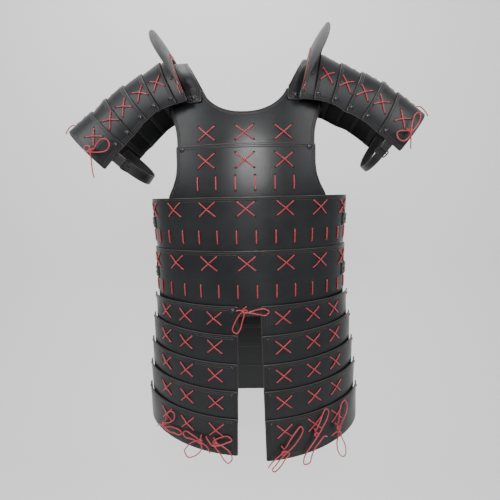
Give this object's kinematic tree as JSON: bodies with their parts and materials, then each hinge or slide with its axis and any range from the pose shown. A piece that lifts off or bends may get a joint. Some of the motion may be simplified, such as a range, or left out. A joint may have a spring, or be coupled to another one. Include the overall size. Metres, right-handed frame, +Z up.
{
  "type": "laced leather samurai armour with shoulder guards and skirt",
  "caption": "Worn leather plate armour with a laced breast, waist bands, split skirt and lamed shoulder guards, held in its hollow worn form.",
  "frame": {"origin": "under the ridge of the two shoulder straps, midway between them, where the wearer's shoulders carry the armour", "axes": "+Z up, the front faces -Y, +X to the wearer's left"},
  "size_m": [0.7742, 0.3555, 0.8955],
  "materials": {
    "black_leather": "semi-gloss black leather, tooled border lines, burnished edges",
    "strap_leather": "black strap leather, satin",
    "lacing_cord": "red braided round cord",
    "dark_metal": "blackened steel, satin"
  },
  "bodies": {
    "root": {"breast_plate_upper": "black_leather", "breast_plate_lower": "black_leather", "back_plate_upper": "black_leather", "back_plate_lower": "black_leather", "waist_band_front_upper": "black_leather", "waist_band_back_upper": "black_leather", "waist_band_front_lower": "black_leather", "waist_band_back_lower": "black_leather", "tasset_right_lame_1": "black_leather", "tasset_right_lame_2": "black_leather", "tasset_right_lame_3": "black_leather", "tasset_right_lame_4": "black_leather", "tasset_right_lame_5": "black_leather", "tasset_left_lame_1": "black_leather", "tasset_left_lame_2": "black_leather", "tasset_left_lame_3": "black_leather", "tasset_left_lame_4": "black_leather", "tasset_left_lame_5": "black_leather", "skirt_back_lame_1": "black_leather", "skirt_back_lame_2": "black_leather", "skirt_back_lame_3": "black_leather", "skirt_back_lame_4": "black_leather", "skirt_back_lame_5": "black_leather", "shoulder_plate_right": "black_leather", "shoulder_guard_right_lame_1": "black_leather", "shoulder_guard_right_lame_2": "black_leather", "shoulder_guard_right_lame_3": "black_leather", "shoulder_guard_right_lame_4": "black_leather", "shoulder_guard_right_lame_5": "black_leather", "collar_wing_right": "black_leather", "arm_strap_right": "strap_leather", "shoulder_plate_left": "black_leather", "shoulder_guard_left_lame_1": "black_leather", "shoulder_guard_left_lame_2": "black_leather", "shoulder_guard_left_lame_3": "black_leather", "shoulder_guard_left_lame_4": "black_leather", "shoulder_guard_left_lame_5": "black_leather", "collar_wing_left": "black_leather", "arm_strap_left": "strap_leather", "shoulder_strap_right": "black_leather", "shoulder_strap_left": "black_leather", "side_strap_upper_right": "strap_leather", "side_buckle_upper_right": "dark_metal", "side_strap_upper_left": "strap_leather", "side_buckle_upper_left": "dark_metal", "side_strap_lower_right": "strap_leather", "side_buckle_lower_right": "dark_metal", "side_strap_lower_left": "strap_leather", "side_buckle_lower_left": "dark_metal", "bow_waist_centre": "lacing_cord", "bow_tasset_right_outer": "lacing_cord", "bow_tasset_right_middle": "lacing_cord", "bow_tasset_right_inner": "lacing_cord", "bow_tasset_left_inner": "lacing_cord", "bow_tasset_left_middle": "lacing_cord", "bow_tasset_left_outer": "lacing_cord", "bow_guard_right_front": "lacing_cord", "bow_guard_left_front": "lacing_cord", "cord_end_guard_right": "lacing_cord", "cord_end_guard_left": "lacing_cord"}
  },
  "joints": []
}
